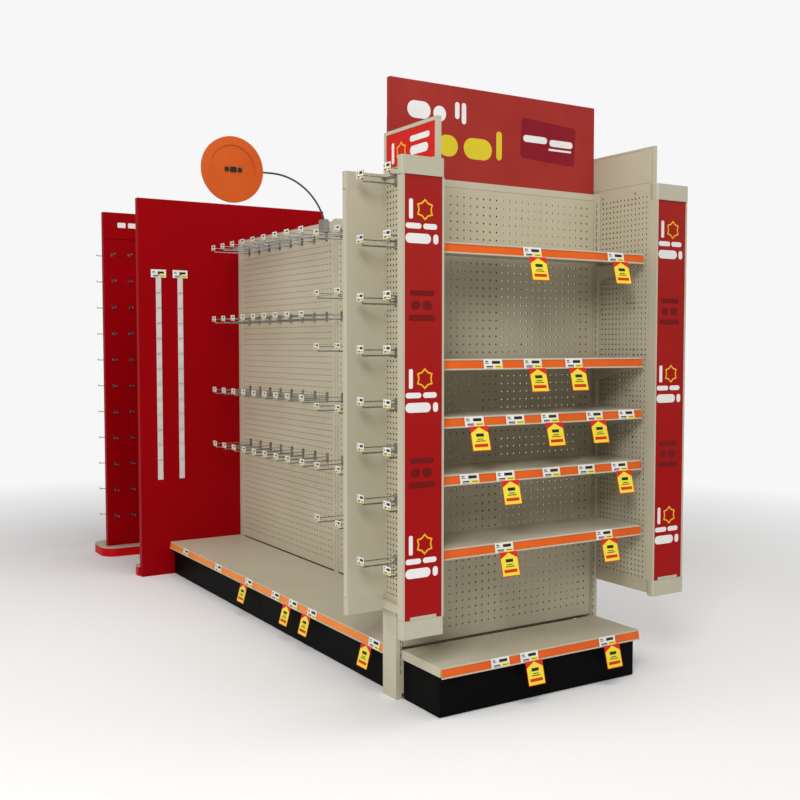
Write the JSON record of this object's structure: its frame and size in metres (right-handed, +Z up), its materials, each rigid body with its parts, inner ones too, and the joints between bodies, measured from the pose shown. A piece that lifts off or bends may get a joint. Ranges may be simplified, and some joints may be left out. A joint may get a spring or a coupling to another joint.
{
  "type": "gondola shelving unit",
  "caption": "Double-sided gondola shelving run with a shelved end cap, two peg wings, signs, and a red end panel with a card-display alcove behind it.",
  "frame": {"origin": "on the floor, on the run's centre line, in the plane of the end-cap uprights' front face", "axes": "+Z up, +Y along the run away from the end cap, +X to the right when facing the end cap"},
  "size_m": [1.332, 3.664, 2.2378],
  "materials": {
    "putty_paint": "fine powder coat, satin",
    "peg_board": "painted hardboard, raw brown inside the holes",
    "ticket_orange": "smooth extruded strip",
    "kick_black": "satin black",
    "zinc_wire": "bright zinc",
    "label_white": "moulded plate",
    "clip_plastic": "translucent white plastic",
    "graphic_red": "printed sheet",
    "header_red": "printed board",
    "laminate_red": "red laminate on board",
    "cap_plastic": "fine moulded texture",
    "bracket_grey": "satin",
    "arm_dark": "satin",
    "disc_orange": "vacuum-formed, slight sheen"
  },
  "bodies": {
    "frame": {"endcap_uprights": "putty_paint", "endcap_rails": "putty_paint", "endcap_back_panel": "peg_board", "kick_plates": "kick_black", "base_shoes": "putty_paint", "levelling_feet": "zinc_wire", "run_uprights": "putty_paint", "run_rails": "putty_paint", "run_back_panels": "peg_board", "run_top_caps": "putty_paint", "run_hooks": "zinc_wire", "run_label_plates": "label_white", "header_sign": "header_red", "header_prongs": "zinc_wire", "end_panel": "laminate_red", "card_wall": "laminate_red", "card_hooks": "zinc_wire", "plinth": "laminate_red", "sign_bracket": "bracket_grey"},
    "shelf_1": {"shelf_1_pan": "putty_paint", "shelf_1_brackets": "putty_paint", "shelf_1_ticket_strip": "ticket_orange"},
    "shelf_2": {"shelf_2_pan": "putty_paint", "shelf_2_brackets": "putty_paint", "shelf_2_ticket_strip": "ticket_orange"},
    "shelf_3": {"shelf_3_pan": "putty_paint", "shelf_3_brackets": "putty_paint", "shelf_3_ticket_strip": "ticket_orange"},
    "shelf_4": {"shelf_4_pan": "putty_paint", "shelf_4_brackets": "putty_paint", "shelf_4_ticket_strip": "ticket_orange"},
    "shelf_5": {"shelf_5_pan": "putty_paint", "shelf_5_brackets": "putty_paint", "shelf_5_ticket_strip": "ticket_orange"},
    "endcap_deck": {"endcap_deck": "putty_paint", "endcap_ticket_strip": "ticket_orange"},
    "deck_left_1": {"deck_left_1": "putty_paint", "deck_left_1_ticket_strip": "ticket_orange"},
    "deck_left_2": {"deck_left_2": "putty_paint", "deck_left_2_ticket_strip": "ticket_orange"},
    "wing_left": {"wing_left_frame": "putty_paint", "wing_left_panel": "peg_board", "wing_left_caps": "cap_plastic", "wing_left_graphic": "graphic_red", "wing_left_sign": "putty_paint", "wing_left_hooks": "zinc_wire"},
    "deck_right_1": {"deck_right_1": "putty_paint", "deck_right_1_ticket_strip": "ticket_orange"},
    "deck_right_2": {"deck_right_2": "putty_paint", "deck_right_2_ticket_strip": "ticket_orange"},
    "wing_right": {"wing_right_frame": "putty_paint", "wing_right_panel": "peg_board", "wing_right_caps": "cap_plastic", "wing_right_graphic": "graphic_red", "wing_right_sign": "putty_paint", "wing_right_hooks": "zinc_wire"},
    "sign_arm": {"sign_arm": "arm_dark"},
    "sign_disc": {"sign_disc": "disc_orange"},
    "clip_strip_1": {"clip_strip_1": "clip_plastic"},
    "clip_strip_2": {"clip_strip_2": "clip_plastic"}
  },
  "joints": [
    {"name": "shelf_1_tilt", "type": "hinge", "parent": "frame", "child": "shelf_1", "pos_m": [0, 0.002, 0.568], "axis": [-1, 0, 0], "range_deg": [0, 8]},
    {"name": "shelf_2_tilt", "type": "hinge", "parent": "frame", "child": "shelf_2", "pos_m": [0, 0.002, 0.82], "axis": [-1, 0, 0], "range_deg": [0, 8]},
    {"name": "shelf_3_tilt", "type": "hinge", "parent": "frame", "child": "shelf_3", "pos_m": [0, 0.002, 1.016], "axis": [-1, 0, 0], "range_deg": [0, 8]},
    {"name": "shelf_4_tilt", "type": "hinge", "parent": "frame", "child": "shelf_4", "pos_m": [0, 0.002, 1.212], "axis": [-1, 0, 0], "range_deg": [0, 8]},
    {"name": "shelf_5_tilt", "type": "hinge", "parent": "frame", "child": "shelf_5", "pos_m": [0, 0.002, 1.604], "axis": [-1, 0, 0], "range_deg": [0, 8]},
    {"name": "endcap_deck_lift", "type": "slide", "parent": "frame", "child": "endcap_deck", "axis": [0, 0, 1], "range_m": [0, 0.06]},
    {"name": "deck_left_1_lift", "type": "slide", "parent": "frame", "child": "deck_left_1", "axis": [0, 0, 1], "range_m": [0, 0.06]},
    {"name": "deck_left_2_lift", "type": "slide", "parent": "frame", "child": "deck_left_2", "axis": [0, 0, 1], "range_m": [0, 0.06]},
    {"name": "deck_right_1_lift", "type": "slide", "parent": "frame", "child": "deck_right_1", "axis": [0, 0, 1], "range_m": [0, 0.06]},
    {"name": "deck_right_2_lift", "type": "slide", "parent": "frame", "child": "deck_right_2", "axis": [0, 0, 1], "range_m": [0, 0.06]},
    {"name": "wing_left_lift", "type": "slide", "parent": "frame", "child": "wing_left", "axis": [0, 0, 1], "range_m": [0, 0.018]},
    {"name": "wing_right_lift", "type": "slide", "parent": "frame", "child": "wing_right", "axis": [0, 0, 1], "range_m": [0, 0.018]},
    {"name": "sign_arm_swivel", "type": "hinge", "parent": "frame", "child": "sign_arm", "pos_m": [-0.064, 1.353, 1.865], "axis": [0, 0, 1], "range_deg": [-90, 90]},
    {"name": "sign_disc_turn", "type": "hinge", "parent": "sign_arm", "child": "sign_disc", "pos_m": [-0.39, 1.353, 2.08781], "axis": [1, 0, 0], "range_deg": [-25, 25]},
    {"name": "clip_strip_1_swing", "type": "hinge", "parent": "frame", "child": "clip_strip_1", "pos_m": [-0.525, 2.435, 1.675], "axis": [0, 1, 0], "range_deg": [-2.2, 6]},
    {"name": "clip_strip_2_swing", "type": "hinge", "parent": "frame", "child": "clip_strip_2", "pos_m": [-0.401, 2.435, 1.675], "axis": [0, 1, 0], "range_deg": [-6, 2.2]}
  ]
}
